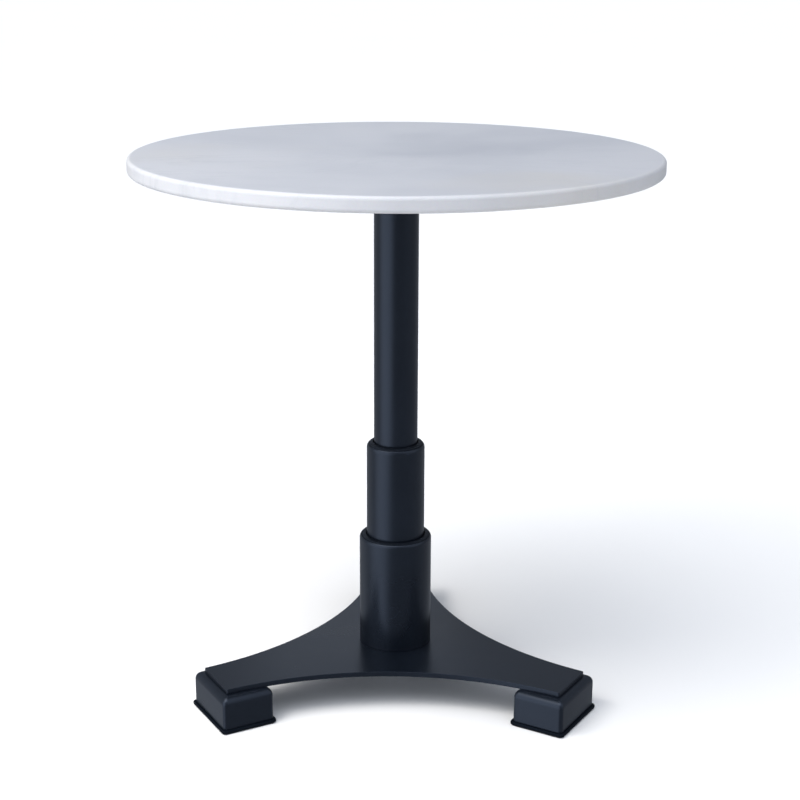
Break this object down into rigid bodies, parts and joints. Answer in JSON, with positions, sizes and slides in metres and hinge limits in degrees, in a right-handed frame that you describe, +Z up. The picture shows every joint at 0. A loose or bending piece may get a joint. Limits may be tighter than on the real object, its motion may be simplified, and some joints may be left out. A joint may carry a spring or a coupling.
{
  "type": "bistro table",
  "caption": "Round marble bistro table on a stepped steel column with a three-armed star plate and rectangular block feet.",
  "frame": {"origin": "on the floor, on the axis of the column, at the middle of the foot pads' level", "axes": "+Z up along the column, +Y along the arm that points to the back, +X to the right when seen from the front"},
  "size_m": [0.7, 0.7, 0.748],
  "materials": {
    "marble": "honed, soft grey clouds",
    "powder_coat": "satin blue-black powder coat",
    "black_plastic": "fine matt",
    "zinc_steel": "bright zinc plated",
    "brass": "turned",
    "rubber": "matt black"
  },
  "bodies": {
    "root": {"marble_top": "marble", "top_plate": "powder_coat", "upper_tube": "powder_coat", "middle_sleeve": "powder_coat", "lower_sleeve": "powder_coat", "star_plate": "powder_coat", "left_foot_block": "powder_coat", "right_foot_block": "powder_coat", "back_foot_block": "powder_coat", "middle_collar": "black_plastic", "lower_collar": "black_plastic", "middle_locating_ring": "black_plastic", "lower_locating_ring": "black_plastic", "left_foot_base_plate": "black_plastic", "right_foot_base_plate": "black_plastic", "back_foot_base_plate": "black_plastic", "top_plug": "zinc_steel", "base_plug": "zinc_steel", "tie_rod": "zinc_steel", "tie_rod_washer": "zinc_steel", "tie_rod_nut": "zinc_steel", "top_screw_1": "zinc_steel", "top_screw_2": "zinc_steel", "top_screw_3": "zinc_steel", "top_screw_4": "zinc_steel", "top_screw_washer_1": "zinc_steel", "top_screw_washer_2": "zinc_steel", "top_screw_washer_3": "zinc_steel", "top_screw_washer_4": "zinc_steel", "left_foot_stud": "zinc_steel", "left_foot_washer": "zinc_steel", "left_foot_nut": "zinc_steel", "left_foot_inner_screw": "zinc_steel", "left_foot_outer_screw": "zinc_steel", "right_foot_stud": "zinc_steel", "right_foot_washer": "zinc_steel", "right_foot_nut": "zinc_steel", "right_foot_inner_screw": "zinc_steel", "right_foot_outer_screw": "zinc_steel", "back_foot_stud": "zinc_steel", "back_foot_washer": "zinc_steel", "back_foot_nut": "zinc_steel", "back_foot_inner_screw": "zinc_steel", "back_foot_outer_screw": "zinc_steel", "threaded_insert_1": "brass", "threaded_insert_2": "brass", "threaded_insert_3": "brass", "threaded_insert_4": "brass", "rubber_bumper_1": "rubber", "rubber_bumper_2": "rubber", "rubber_bumper_3": "rubber", "rubber_bumper_4": "rubber", "left_foot_pad": "rubber", "right_foot_pad": "rubber", "back_foot_pad": "rubber"}
  },
  "joints": []
}
